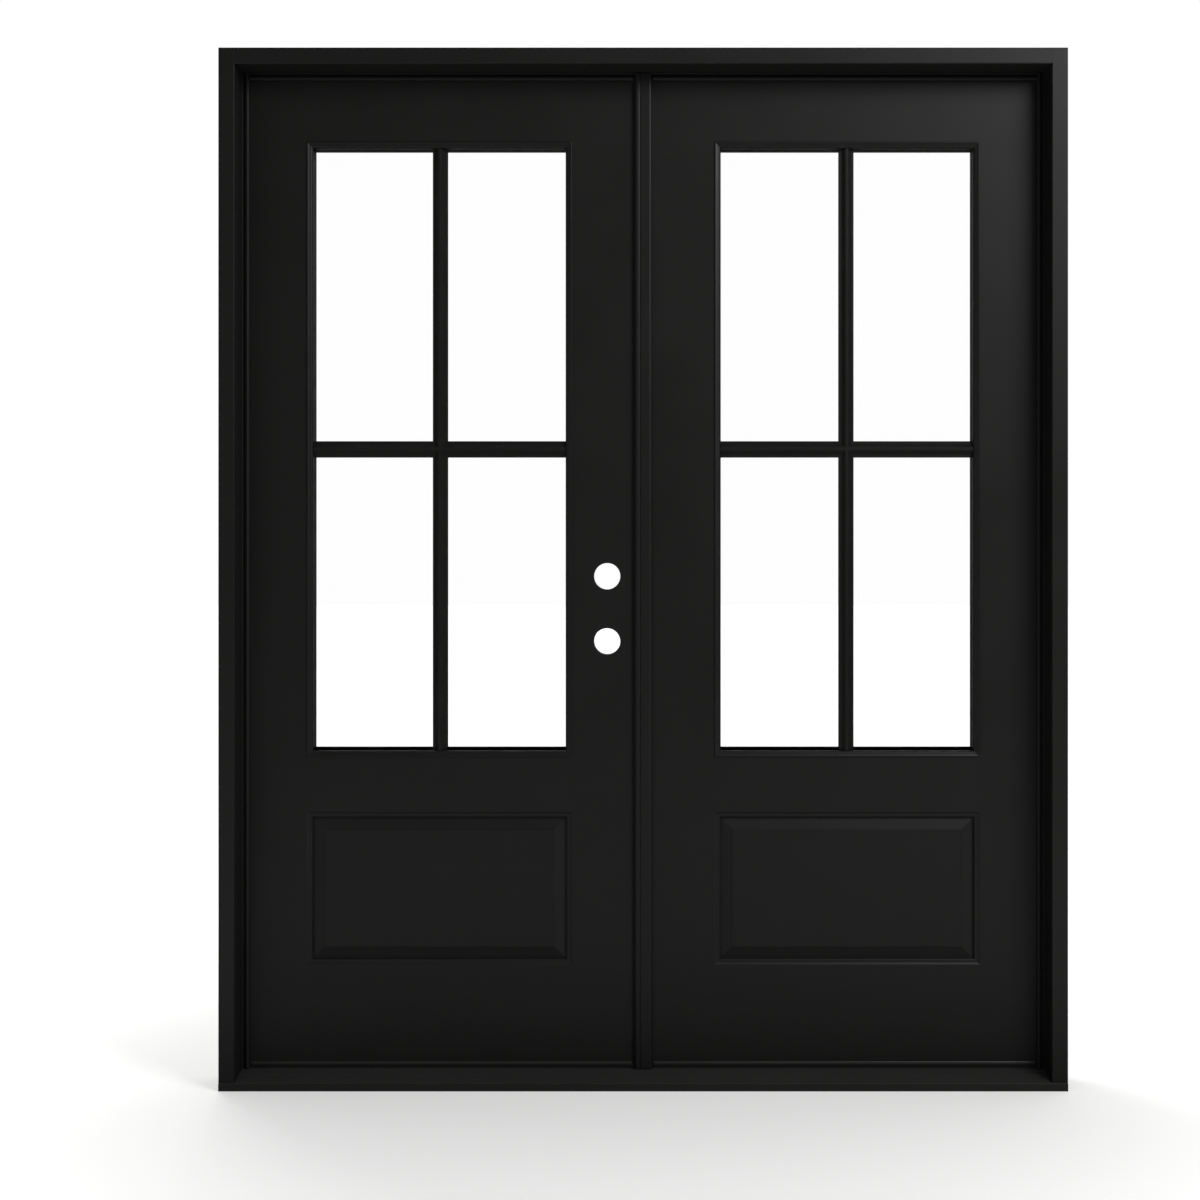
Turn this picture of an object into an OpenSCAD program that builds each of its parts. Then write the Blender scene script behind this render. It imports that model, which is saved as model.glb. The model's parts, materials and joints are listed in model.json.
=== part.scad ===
// Prehung pair of inswing french doors: two moulded leaves, each with a four-light window over a
// raised panel, hung on butt hinges in a rabbeted frame with a sloped sill. The left leaf is bored
// for its lock. The right leaf carries the astragal, with a sliding bolt at its top and its foot.
// +X is right and +Y is into the room, seen from outdoors; +Z is up. The origin is the middle of
// the underside of the sill. Millimetres.

/* [Leaves] */
// Width of one leaf
leaf_w = 801.5; // [760:0.5:900]
// Height of one leaf
leaf_h = 2013; // [1950:1:2150]
// Thickness of one leaf
leaf_t = 44.5; // [42:0.5:50]
// Stile on the hinge side, from the leaf's edge to the window frame
hinge_stile = 140.5; // [120:0.5:150]
// Stile on the lock side, from the leaf's edge to the window frame
lock_stile = 123; // [110:0.5:140]
// Rail above the window frame
top_rail = 148; // [120:1:170]
// Rail between the window frame and the panel
lock_rail = 111; // [90:1:140]
// Rail below the panel
bottom_rail = 196; // [150:1:230]
// Height of the raised panel, over its moulding
panel_h = 310; // [250:1:360]

/* [Gaps] */
// Gap between a leaf's hinge edge and its jamb
hinge_gap = 3; // [2:0.5:4]
// Gap between a leaf's top and the head
head_gap = 3; // [2:0.5:5]
// Space under a leaf for its sweep
sweep_space = 13.5; // [11:0.5:18]
// Room for the seal between the rabbet's shoulder and a leaf
seal_gap = 2.5; // [2:0.1:4]
// Clearance round a piece that is let into another
let_in_gap = 0.15; // [0.05:0.05:0.3]

/* [Frame] */
// Depth of the jambs through the wall
jamb_d = 116; // [100:1:170]
// Thickness of a jamb in front of the rabbet
jamb_t = 31.75; // [28:0.25:38]
// Thickness of a jamb in the rabbet
rabbet_t = 19; // [16:0.5:22]
// Broken edge along each jamb
arris = 1.5; // [0.5:0.25:3]

/* [Sill] */
// How far the sill's nosing stands in front of the jambs
sill_proud = 2; // [1:0.5:10]
// Height of the tread at the front of the jambs
nose_h = 16.5; // [12:0.5:20]
// Height of the threshold under the leaves
threshold_h = 27.5; // [24:0.5:34]
// Rounding of the nosing
nose_r = 2; // [1.5:0.5:4]
// Wall of the aluminium deck
deck_t = 2.2; // [1.6:0.1:3]
// Gap under the deck's front leg
deck_lift = 0.4; // [0.3:0.1:2]
// Distance of the deck's back from the plane of the leaves' faces
deck_set_back = 0.5; // [0.3:0.1:1]
// Height of the flat that the threshold stands on
cap_seat_z = 12; // [9:0.5:14]
// Height of the deck's rear hook
hook_z = 17; // [15:0.5:19]
// Width of a rib on the tread
rib_w = 15; // [10:0.5:18]
// Height of a rib on the tread
rib_h = 1.2; // [0.6:0.1:1.8]
// Spacing of the ribs
rib_pitch = 21.5; // [19:0.5:24]
// First rib, back from the front of the jambs
rib_start = 14; // [10:0.5:18]
// Number of ribs
rib_count = 3; // [2:1:4]
// Height of a groove in the nosing's front
nose_groove = 1; // [0.5:0.1:1.5]

/* [Window] */
// Overlap of the window frame on the leaf
lip_w = 4; // [3:0.5:6]
// How far the window frame stands proud of the leaf
lip_h = 2.5; // [1.5:0.25:4]
// Flat along the crest of the window frame's outer edge
lip_crest = 0.75; // [0.5:0.25:1.5]
// Inner end of the slope that falls from the crest to the quarter round
lip_slope = 7; // [5:0.5:9]
// Fall of that slope
lip_fall = 1.8; // [1:0.1:2.4]
// Width of the window frame's moulding
mould_w = 13; // [11:0.5:18]
// Rounding of the window frame's outer edge
lip_r = 1.5; // [0.5:0.25:1.5]
// Thickness of one pane
pane_t = 3.2; // [3:0.1:5]
// Space between the panes
pane_gap = 9.6; // [6:0.2:14]
// Room round the sealed glass unit
glass_room = 2; // [1:0.5:3]
// Bedding between the window frame and the glass
bedding = 0.25; // [0.1:0.05:0.5]
// Width of the spacer between the panes
spacer_w = 5; // [4:0.5:7]
// How far the spacer is set in from the panes' edges
spacer_inset = 2; // [1:0.5:3]
// How much taller the spacer is along the foot of the glass
spacer_foot = 6; // [0:0.5:8]

/* [Bars] */
// Width of a vertical glazing bar
bar_v_w = 29; // [26:0.5:34]
// Width of a horizontal glazing bar
bar_h_w = 32; // [26:0.5:36]
// Height of a glazing bar off the glass
bar_h = 11; // [8:0.5:13]
// Height of a glazing bar's edge
bar_edge = 3; // [2:0.25:5]
// Flat shoulder along a glazing bar
bar_shoulder = 4.75; // [3:0.25:5.5]
// Flat along the ridge of a glazing bar
bar_ridge = 5.5; // [3:0.5:9]
// How far the horizontal bar stands above the middle of the window frame
bar_up = 1.5; // [0:0.25:3]
// Gap between a bar's coped end and the window frame
bar_cope = 0.15; // [0.05:0.05:0.4]

/* [Panel] */
// Width of the outer slope of the panel moulding
stick_slope = 4; // [3:0.25:5]
// Depth of the outer slope of the panel moulding
stick_drop = 2.2; // [1.5:0.1:3]
// Rounding at the inner edge of the panel moulding
stick_r = 3.5; // [2:0.25:4]
// Width of the panel moulding
stick_w = 11.5; // [10:0.5:14]
// Depth of the groove round the raised field
groove_depth = 8.5; // [7:0.25:10]
// Width of the groove's floor
groove_w = 1.5; // [1:0.25:3]
// Width of the bevel round the field
bevel_w = 23; // [16:0.5:30]
// Depth at the top of the bevel
bevel_top = 2.2; // [1.5:0.1:3]
// Depth of the raised field below the leaf's face
field_depth = 0.8; // [0.4:0.1:1.2]

/* [Hinges] */
// Height of a hinge
hinge_h = 101.6; // [76:0.1:115]
// Width of a hinge plate on the wood
hinge_reach = 33.5; // [28:0.5:38]
// Thickness of a hinge plate
plate_t = 2.3; // [2:0.1:3]
// Corner radius of a hinge plate
plate_r = 16; // [6:0.5:16]
// Outside radius of a knuckle
knuckle_r = 6.2; // [5.6:0.1:7.5]
// Bore radius of a knuckle
knuckle_bore = 3.55; // [3:0.05:4]
// Running clearance of the pin, on the radius
pin_gap = 0.05; // [0.02:0.01:0.1]
// Distance of the pin from the room face of the leaves
pin_out = 7; // [6.8:0.1:9]
// Gap between neighbouring knuckles
knuckle_gap = 0.4; // [0.3:0.1:0.8]
// Radius of the head of a hinge pin
pin_head_r = 5.4; // [4.5:0.1:6]
// Height of the head of a hinge pin
pin_head_h = 3.2; // [2:0.1:5]
// Top of the leaf to the top hinge
hinge_from_top = 178; // [150:1:250]
// Bottom of the leaf to the bottom hinge
hinge_from_foot = 280; // [200:1:320]

/* [Lock bores] */
// Radius of the bores through the leaf
lock_bore_r = 27; // [25:0.5:28]
// Distance of the bores from the leaf's edge
backset = 52; // [47:0.5:57]
// Height of the lower bore above the leaf's foot
latch_up = 851.35; // [800:0.05:950]
// Distance between the two bores
bore_pitch = 132.5; // [100:0.1:152]
// Radius of the bores in the leaf's edge
edge_bore_r = 12.7; // [11:0.1:13]
// Width of a latch face plate
face_w = 25.4; // [24:0.1:28.6]
// Height of a latch face plate
face_h = 57.2; // [50:0.1:60]
// Depth of the recess for a latch face plate
face_t = 3; // [2:0.1:4]

/* [Astragal] */
// Width of the astragal's face
astragal_w = 36; // [32:0.5:42]
// How far the astragal stands proud of the leaves
astragal_t = 12; // [10:0.5:14]
// Gap between the astragal and the left leaf's edge, in which each leaf's corner swings past
astragal_gap = 3.5; // [3:0.1:4.5]
// Meeting seal, from the leaves' outdoor face to the middle of its kerf
meet_seal_in = 6; // [6:0.5:9]
// Half the depth of the meeting seal
meet_half = 5.5; // [4.5:0.25:5.75]
// Taper of the meeting seal at its front and at its back
meet_taper = 1; // [0.5:0.25:2]
// Height of the astragal's foot above the threshold
astragal_foot = 1; // [0.5:0.1:2]
// Gap between the astragal's top and the head
astragal_top_gap = 2.25; // [1.5:0.25:4]
// Gap between the head's seal and the astragal's sides
notch_gap = 2; // [1:0.5:4]
// Radius of the bead along the astragal's left edge
bead_r = 7; // [5:0.5:7.5]
// Width of the groove beside the bead
quirk_w = 1; // [0.5:0.25:1.5]
// Rounding of the astragal's right edge
astragal_r = 6; // [4:0.5:8]
// Width of the bolt channel
channel_w = 14; // [12:0.5:16]
// Depth of the bolt channel
channel_d = 13; // [12:0.5:15]
// Width of the tongue on the web that holds the face
tongue_w = 5; // [3:0.5:6]
// Depth of the tongue
tongue_d = 4; // [3:0.5:5]
// First and last screw of the astragal, from the leaf's ends
astragal_screw_end = 320; // [290:1:400]
// Thickness of a strike plate
strike_t = 2; // [1.5:0.1:3]

/* [Bolts] */
// Radius of a sliding bolt
bolt_r = 4.75; // [4:0.05:5]
// Length of a sliding bolt
bolt_l = 210; // [170:1:260]
// Radius of the bolt's guide bore
guide_bore = 4.8; // [4.05:0.05:5.05]
// Length of the guide at the astragal's end
guide_l = 40; // [30:1:50]
// Length of the guide at the bolt's inner end
inner_guide_l = 25; // [15:1:30]
// Height of a bolt's thumb piece
thumb_h = 28; // [20:1:36]
// Distance of a drawn bolt's tip inside the astragal's end
bolt_set_in = 2; // [1:0.5:4]
// Radius of a bolt socket
socket_r = 5.5; // [5.2:0.1:6]
// Depth of the socket in the head
head_socket = 16; // [14:0.5:17]
// Depth left under the socket in the sill
sill_socket_floor = 6; // [3:0.5:9]
// Width of a bolt strike
bolt_strike_w = 27; // [22:1:34]
// Length of a bolt strike, across the wall
bolt_strike_l = 34; // [28:1:40]

/* [Seals] */
// Width of the kerf for a seal
kerf_w = 3; // [2.5:0.1:4]
// Depth of the kerf for a seal
kerf_d = 7.5; // [6:0.5:10]
// Kerf from the corner of the rabbet
kerf_in = 1.5; // [1:0.1:3]
// Play of a seal's stem in its kerf
stem_play = 0.3; // [0.2:0.05:0.5]
// Thickness of a seal's web
web_t = 1.2; // [0.8:0.1:1.6]
// Radius of a seal's bulb
bulb_r = 4.5; // [3.5:0.25:5]
// Middle of the bulb, out from the rabbet's wall
bulb_out = 24; // [21:0.5:26]
// Thickness of a seal's lip over the rabbet's corner
seal_lip_t = 2.4; // [1.6:0.2:3]
// Length of a seal's lip along the jamb
seal_lip_d = 6; // [4:0.5:8]
// Gap between the bulb and a closed leaf
bulb_gap = 0.5; // [0.3:0.1:0.8]
// Thickness of the sweep's plate
sweep_t = 3; // [2:0.25:4]
// Thickness of a sweep's fin
fin_t = 2; // [1.5:0.25:3]
// How far the sweep's lip stands in front of the leaf
sweep_lip = 1.7; // [1:0.1:2]
// Height of the sweep's lip above the foot of its fins
sweep_lip_up = 3.5; // [2:0.5:6]
// Gap between the sweep and the threshold
sweep_clear = 0.5; // [0.3:0.1:1]
// Gap between the sweep's lip and what stands beside it
sweep_side = 3.5; // [2:0.5:6]

/* [Screws] */
// Radius of a screw's shank
screw_r = 2.2; // [1.8:0.1:2.6]
// Radius of a screw's countersunk head
screw_head_r = 4.2; // [3.6:0.1:4.6]
// Height of a screw's countersunk head
screw_head_h = 2.3; // [1.8:0.1:2.6]
// Length of a screw's point
screw_point = 4; // [2:0.5:6]
// Play of a screw in its hole, on the radius
screw_play = 0.1; // [0.05:0.05:0.2]
// Length of a hinge screw in a jamb
jamb_screw_l = 17; // [12:0.5:18]
// Length of a hinge screw in a leaf
leaf_screw_l = 25; // [18:1:40]
// Length of a screw that joins the frame
frame_screw_l = 62; // [50:1:75]
// Length of a screw in the astragal
astragal_screw_l = 52; // [45:1:60]
// Length of a screw in a bolt strike
strike_screw_l = 13; // [10:0.5:15]

/* [Hidden] */
$fn = 48;

// Finishes
door_black = "#1d1d1c";
sill_black = "#242423";
seal_black = "#121212";
hinge_black = "#2b2b2a";
glass_tint = "#dfe9ea";
spacer_grey = "#8b8e90";
steel = "#b4b4b0";
wood_screw_grey = "#6d6d69";

// A cutter reaches past the face that it cuts by this much
over = 1;

// Frame, measured from the middle of the unit
meeting_gap = astragal_w + 2 * astragal_gap;
half_w = leaf_w + hinge_gap + rabbet_t + meeting_gap / 2;
jamb_y = jamb_d / 2;
rabbet_x = half_w - rabbet_t;
stop_x = half_w - jamb_t;
leaf_z0 = threshold_h + sweep_space;
leaf_z1 = leaf_z0 + leaf_h;
head_rabbet_z = leaf_z1 + head_gap;
unit_h = head_rabbet_z + rabbet_t;
head_stop_z = unit_h - jamb_t;

// Leaves
leaf_in_y = jamb_y;
leaf_out_y = leaf_in_y - leaf_t;
leaf_mid_y = leaf_in_y - leaf_t / 2;
shoulder_y = leaf_out_y - seal_gap;
hinge_edge_x = rabbet_x - hinge_gap;
lock_edge_x = hinge_edge_x - leaf_w;

// Window and panel, on the left leaf
lite_w = leaf_w - hinge_stile - lock_stile;
lite_h = leaf_h - top_rail - lock_rail - panel_h - bottom_rail;
lite_x = -(lock_edge_x + lock_stile + lite_w / 2);
panel_z = leaf_z0 + bottom_rail + panel_h / 2;
lite_z = leaf_z0 + bottom_rail + panel_h + lock_rail + lite_h / 2;
quarter_r = mould_w - lip_slope;
cut_w = lite_w - 2 * lip_w;
cut_h = lite_h - 2 * lip_w;
glass_w = cut_w - 2 * glass_room;
glass_h = cut_h - 2 * glass_room;
glass_t = 2 * pane_t + pane_gap;
glass_out_y = leaf_mid_y - glass_t / 2;
glass_depth = glass_out_y - leaf_out_y;

// Sill, in the section across the wall
sill_front_y = -jamb_y - sill_proud;
deck_back_y = leaf_out_y - deck_set_back;
tread_slope = (threshold_h - nose_h) / (deck_back_y + jamb_y);
tread_angle = atan(tread_slope);
function tread_z(y) = nose_h + (y + jamb_y) * tread_slope;
function deck_under_z(y) = tread_z(y) - deck_t / cos(tread_angle);
nose_y = sill_front_y + nose_r;
nose_z = tread_z(nose_y - nose_r * sin(tread_angle)) - nose_r * cos(tread_angle);
deck_in_y = sill_front_y + deck_t;
hook_y = deck_back_y - deck_t;

// Hinges
pin_x = (rabbet_x + hinge_edge_x) / 2;
pin_y = leaf_in_y + pin_out;
pin_r = knuckle_bore - pin_gap;
knuckle_h = (hinge_h - 4 * knuckle_gap) / 5;
knuckle_step = knuckle_h + knuckle_gap;
hinge_z_top = leaf_z1 - hinge_from_top - hinge_h / 2;
hinge_z_bottom = leaf_z0 + hinge_from_foot + hinge_h / 2;
hinge_z_middle = (hinge_z_top + hinge_z_bottom) / 2;
hinge_zs = [hinge_z_bottom, hinge_z_middle, hinge_z_top];
screw_rows = [-0.37, -0.125, 0.125, 0.37];
screw_lines = [0.3, 0.68];

// Lock bores
bore_x = -(lock_edge_x + backset);
latch_z = leaf_z0 + latch_up;
deadbolt_z = latch_z + bore_pitch;
bore_zs = [latch_z, deadbolt_z];

// Astragal and bolts
web_x = -astragal_w / 2;
face_z0 = threshold_h + astragal_foot;
face_z1 = head_stop_z - astragal_top_gap;
face_front_y = leaf_out_y - astragal_t;
meet_seal_y = leaf_out_y + meet_seal_in;
channel_x = web_x + channel_d;
channel_y = leaf_mid_y - channel_w / 2;
bolt_x = (web_x + channel_x) / 2;
guide_w = channel_w - 2 * let_in_gap;
top_tip_z = leaf_z1 - bolt_set_in;
foot_tip_z = face_z0 + bolt_set_in;
astragal_screw_step = (leaf_h - 2 * astragal_screw_end) / 5;
astragal_screw_zs = [for (i = [0 : 5]) leaf_z0 + astragal_screw_end + i * astragal_screw_step];

// Seals
kerf_x = rabbet_x - kerf_in - kerf_w;
bulb_y = leaf_out_y - bulb_gap - bulb_r;
bulb_x = rabbet_x - bulb_out;
notch_x = astragal_w / 2 + notch_gap;
sweep_z = threshold_h + sweep_clear;
sweep_lip_x0 = bulb_x - bulb_r - sweep_side;
sweep_lip_x1 = lock_edge_x;

// Points along an arc, from one angle to another
function arc(c, r, a0, a1, n = 6) =
    [for (i = [0 : n]) let (a = a0 + (a1 - a0) * i / n) c + r * [cos(a), sin(a)]];

// A section across the wall, drawn in Y and Z, run along X about the middle
module along_x(length) {
    rotate([90, 0, 90])
        linear_extrude(length, center = true)
            children();
}

// A section drawn in across and depth, run along Z, and the same run along X
module standing(length) {
    linear_extrude(length, center = true)
        children();
}

module lying(length) {
    rotate([0, -90, 0])
        linear_extrude(length, center = true)
            children();
}

// A well or mound of rectangular plan: each point of its side is [inset from the edge, depth].
// Its corners are mitred, because it is where the two runs of the same side meet.
module mitred(w, h, side) {
    intersection() {
        standing(h + 2 * over) well_section(w / 2, side);
        lying(w + 2 * over) well_section(h / 2, side);
    }
}

module well_section(half, side) {
    last = len(side) - 1;
    polygon(concat(
        [for (p = side) [p[0] - half, p[1]]],
        [for (i = [0 : last]) [half - side[last - i][0], side[last - i][1]]]
    ));
}

// The same shape on the outdoor face and, turned about the leaf's middle, on the room face
module on_room_face() {
    translate([0, 2 * leaf_mid_y, 0])
        mirror([0, 1, 0])
            children();
}

module on_both_faces() {
    children();
    on_room_face() children();
}

module on_right() {
    mirror([1, 0, 0])
        children();
}

module on_both_sides() {
    children();
    on_right() children();
}

// Countersunk wood screw with its head at the origin, pointing down
module screw(length) {
    translate([0, 0, -screw_head_h])
        cylinder(h = screw_head_h, r1 = screw_r, r2 = screw_head_r);
    translate([0, 0, screw_point - length])
        cylinder(h = length - screw_point - screw_head_h, r = screw_r);
    translate([0, 0, -length])
        cylinder(h = screw_point, r1 = screw_r / 4, r2 = screw_r);
}

module screw_hole(length) {
    translate([0, 0, -screw_head_h])
        cylinder(h = screw_head_h, r1 = screw_r + screw_play, r2 = screw_head_r + screw_play);
    translate([0, 0, -length - screw_play])
        cylinder(h = length, r = screw_r + screw_play);
    cylinder(h = over, r = screw_head_r + screw_play);
}

// Places of the screws, each turned so that down is into the piece it holds
module at_hinge_screws(x) {
    for (z = hinge_zs, i = [0 : 3])
        translate([x, leaf_in_y - hinge_reach * screw_lines[i % 2], z + hinge_h * screw_rows[i]])
            children();
}

module at_jamb_screws() {
    at_hinge_screws(-rabbet_x)
        rotate([0, 90, 0])
            children();
}

module at_leaf_screws() {
    at_hinge_screws(-hinge_edge_x)
        rotate([0, -90, 0])
            children();
}

module at_head_joint_screws() {
    translate([-half_w, -jamb_y / 2, (head_stop_z + unit_h) / 2])
        rotate([0, -90, 0])
            children();
    translate([-half_w, leaf_mid_y, (head_rabbet_z + unit_h) / 2])
        rotate([0, -90, 0])
            children();
}

module at_sill_joint_screws() {
    for (y = [-jamb_y / 2, leaf_mid_y])
        translate([-half_w + rabbet_t / 2, y, 0])
            rotate([180, 0, 0])
                children();
}

module at_astragal_screws() {
    for (z = astragal_screw_zs)
        translate([channel_x, leaf_mid_y, z])
            rotate([0, -90, 0])
                children();
}

module at_strike_screws() {
    for (s = [-1, 1]) {
        translate([bolt_x, leaf_mid_y + s * bolt_strike_l * 0.36, head_rabbet_z])
            rotate([180, 0, 0])
                children();
        translate([bolt_x, leaf_mid_y + s * bolt_strike_l * 0.36, threshold_h])
            children();
    }
}

// Frame

module jamb_section() {
    polygon([
        [-half_w, -jamb_y], [-stop_x - arris, -jamb_y], [-stop_x, -jamb_y + arris],
        [-stop_x, shoulder_y - arris], [-stop_x - arris, shoulder_y],
        [-rabbet_x, shoulder_y], [-rabbet_x, jamb_y], [-half_w, jamb_y]
    ]);
}

module sill_block() {
    front = sill_front_y - over;
    along_x(2 * half_w + 2 * over)
        polygon([
            [front, -over], [front, tread_z(front)], [deck_back_y, threshold_h],
            [jamb_y + over, threshold_h], [jamb_y + over, -over]
        ]);
}

// The broken edge stops at the head, so that the two faces meet there without a groove
module side_jamb() {
    difference() {
        union() {
            linear_extrude(unit_h) jamb_section();
            translate([-stop_x - arris, -jamb_y, head_stop_z + arris])
                cube([arris, arris, jamb_t - arris]);
        }
        sill_block();
        translate([-kerf_x - kerf_w, shoulder_y - kerf_d, 0])
            cube([kerf_w, kerf_d + over, unit_h + over]);
        for (z = hinge_zs)
            translate([-rabbet_x - plate_t - let_in_gap, 0, z])
                plate_recess();
        at_jamb_screws() screw_hole(jamb_screw_l);
        at_head_joint_screws() screw_hole(frame_screw_l);
        at_sill_joint_screws() screw_hole(frame_screw_l);
    }
}

module left_jamb() {
    color(door_black) side_jamb();
}

module right_jamb() {
    color(door_black) on_right() side_jamb();
}

module head_section() {
    polygon([
        [-jamb_y, unit_h], [-jamb_y, head_stop_z + arris], [arris - jamb_y, head_stop_z],
        [shoulder_y - arris, head_stop_z], [shoulder_y, head_stop_z + arris],
        [shoulder_y, head_rabbet_z], [jamb_y, head_rabbet_z], [jamb_y, unit_h]
    ]);
}

module head_jamb() {
    color(door_black)
        difference() {
            along_x(2 * rabbet_x) head_section();
            on_both_sides()
                translate([-rabbet_x - over, -jamb_y - over, head_stop_z - over])
                    cube([jamb_t - rabbet_t + over, shoulder_y + jamb_y + over, jamb_t + 2 * over]);
            translate([0, shoulder_y - kerf_d / 2, head_rabbet_z - kerf_in - kerf_w / 2])
                cube([2 * stop_x + over, kerf_d + over, kerf_w], center = true);
            translate([0, 0, head_rabbet_z - over]) strike_recess(strike_t + over);
            translate([bolt_x, leaf_mid_y, head_rabbet_z]) cylinder(h = head_socket, r = socket_r);
            at_strike_screws() screw_hole(strike_screw_l);
            on_both_sides() at_head_joint_screws() screw_hole(frame_screw_l);
        }
}

module sill_base() {
    color(sill_black)
        difference() {
            along_x(2 * half_w)
                polygon([
                    [deck_in_y, 0], [deck_in_y, deck_under_z(deck_in_y)],
                    [hook_y, deck_under_z(hook_y)], [hook_y, hook_z], [deck_back_y, hook_z],
                    [deck_back_y, cap_seat_z], [jamb_y, cap_seat_z], [jamb_y, 0]
                ]);
            translate([bolt_x, leaf_mid_y, sill_socket_floor])
                cylinder(h = threshold_h, r = socket_r);
            on_both_sides() at_sill_joint_screws() screw_hole(frame_screw_l);
        }
}

module sill_deck() {
    color(sill_black)
        difference() {
            union() {
                along_x(2 * half_w)
                    polygon(concat(
                        [[sill_front_y, deck_lift]],
                        arc([nose_y, nose_z], nose_r, 180, 90 + tread_angle),
                        [
                            [deck_back_y, threshold_h], [deck_back_y, hook_z], [hook_y, hook_z],
                            [hook_y, deck_under_z(hook_y)], [deck_in_y, deck_under_z(deck_in_y)],
                            [deck_in_y, deck_lift]
                        ]
                    ));
                for (i = [0 : rib_count - 1])
                    tread_rib(rib_start + i * rib_pitch - jamb_y);
            }
            for (z = [nose_h / 3, nose_h * 0.6, nose_h * 0.84])
                translate([0, sill_front_y, z])
                    cube([2 * half_w + over, nose_groove, nose_groove], center = true);
            on_both_sides() at_sill_joint_screws() screw_hole(frame_screw_l);
        }
}

module tread_rib(y) {
    along_x(2 * (stop_x - rib_h))
        polygon([
            [y - rib_w / 2, tread_z(y - rib_w / 2) - rib_h], [y - rib_w / 2, tread_z(y - rib_w / 2)],
            [y - rib_w / 4, tread_z(y - rib_w / 4) + rib_h],
            [y + rib_w / 4, tread_z(y + rib_w / 4) + rib_h],
            [y + rib_w / 2, tread_z(y + rib_w / 2)], [y + rib_w / 2, tread_z(y + rib_w / 2) - rib_h]
        ]);
}

module threshold_cap() {
    color(sill_black)
        difference() {
            along_x(2 * half_w)
                polygon([
                    [deck_back_y, cap_seat_z], [deck_back_y, threshold_h], [jamb_y, threshold_h],
                    [jamb_y, cap_seat_z]
                ]);
            translate([0, 0, threshold_h - strike_t]) strike_recess(strike_t + over);
            translate([bolt_x, leaf_mid_y, 0]) cylinder(h = threshold_h, r = socket_r);
            on_both_sides() at_sill_joint_screws() screw_hole(frame_screw_l);
            at_strike_screws() screw_hole(strike_screw_l);
        }
}

// Seal in a side jamb: a stem in the kerf, a web on the shoulder, a lip over the rabbet's corner and
// a bulb beside the leaf
module seal_section() {
    translate([kerf_x + stem_play / 2, shoulder_y - kerf_d + stem_play])
        square([kerf_w - stem_play, kerf_d]);
    translate([bulb_x, shoulder_y])
        square([rabbet_x - kerf_in - bulb_x, web_t]);
    translate([stop_x - let_in_gap - seal_lip_t, shoulder_y - seal_lip_d])
        square([seal_lip_t, seal_lip_d + web_t]);
    translate([stop_x - let_in_gap - seal_lip_t / 2, shoulder_y - seal_lip_d])
        circle(seal_lip_t / 2);
    translate([bulb_x, bulb_y])
        circle(bulb_r);
}

module jamb_seal() {
    translate([0, 0, threshold_h + sweep_clear])
        linear_extrude(head_stop_z - threshold_h - 2 * sweep_clear)
            mirror([1, 0])
                seal_section();
}

module left_jamb_seal() {
    color(seal_black) jamb_seal();
}

module right_jamb_seal() {
    color(seal_black) on_right() jamb_seal();
}

// The head's seal stops between the side seals and is notched round the astragal
module head_seal() {
    color(seal_black)
        difference() {
            translate([0, 0, head_rabbet_z - rabbet_x])
                lying(2 * (bulb_x - bulb_r - stem_play))
                    seal_section();
            translate([-notch_x, shoulder_y - leaf_t, face_z1 + sweep_clear - 2 * bulb_out])
                cube([2 * notch_x, leaf_t + seal_gap, 2 * bulb_out]);
        }
}

// Bolt strike let flush into the head or the threshold
module strike_recess(depth) {
    translate([bolt_x - bolt_strike_w / 2 - let_in_gap, leaf_mid_y - bolt_strike_l / 2 - let_in_gap, 0])
        cube([bolt_strike_w + 2 * let_in_gap, bolt_strike_l + 2 * let_in_gap, depth]);
}

module bolt_strike(z) {
    difference() {
        translate([bolt_x - bolt_strike_w / 2, leaf_mid_y - bolt_strike_l / 2, z])
            cube([bolt_strike_w, bolt_strike_l, strike_t]);
        translate([bolt_x, leaf_mid_y, z - over]) cylinder(h = strike_t + 2 * over, r = socket_r);
        at_strike_screws() screw_hole(strike_screw_l);
    }
}

module head_bolt_strike() {
    color(steel) bolt_strike(head_rabbet_z);
}

module sill_bolt_strike() {
    color(steel) bolt_strike(threshold_h - strike_t);
}

module strike_screws() {
    color(wood_screw_grey) at_strike_screws() screw(strike_screw_l);
}

module frame_screws() {
    color(wood_screw_grey)
        on_both_sides() {
            at_head_joint_screws() screw(frame_screw_l);
            at_sill_joint_screws() screw(frame_screw_l);
        }
}

// Hinges, each drawn about its pin, with its plates turned back to lie in the wood

module plate_outline(grow) {
    reach = hinge_reach + pin_out + grow;
    half = hinge_h / 2 + grow;
    translate([plate_r - reach, -half]) square([reach - plate_r, 2 * half]);
    translate([-reach, plate_r - half]) square([reach, 2 * (half - plate_r)]);
    for (s = [-1, 1])
        translate([plate_r - reach, s * (half - plate_r)])
            circle(plate_r);
}

module plate(grow, thickness) {
    rotate([90, 0, 90])
        linear_extrude(thickness)
            plate_outline(grow);
}

module plate_recess() {
    translate([0, pin_y, 0])
        plate(let_in_gap, plate_t + let_in_gap + hinge_gap / 2);
}

module knuckles(rows, r) {
    for (i = rows)
        translate([0, 0, i * knuckle_step - hinge_h / 2])
            cylinder(h = knuckle_h, r = r);
}

module knuckle_room(rows) {
    for (i = rows)
        translate([0, 0, i * knuckle_step - hinge_h / 2 - knuckle_gap])
            cylinder(h = knuckle_h + 2 * knuckle_gap, r = knuckle_r + knuckle_gap);
}

module hinge_leaf(rows, other_rows, plate_x) {
    difference() {
        union() {
            difference() {
                translate([plate_x, 0, 0]) plate(0, plate_t);
                knuckle_room(other_rows);
            }
            knuckles(rows, knuckle_r);
        }
        translate([0, 0, -hinge_h]) cylinder(h = 2 * hinge_h, r = knuckle_bore);
    }
}

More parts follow.
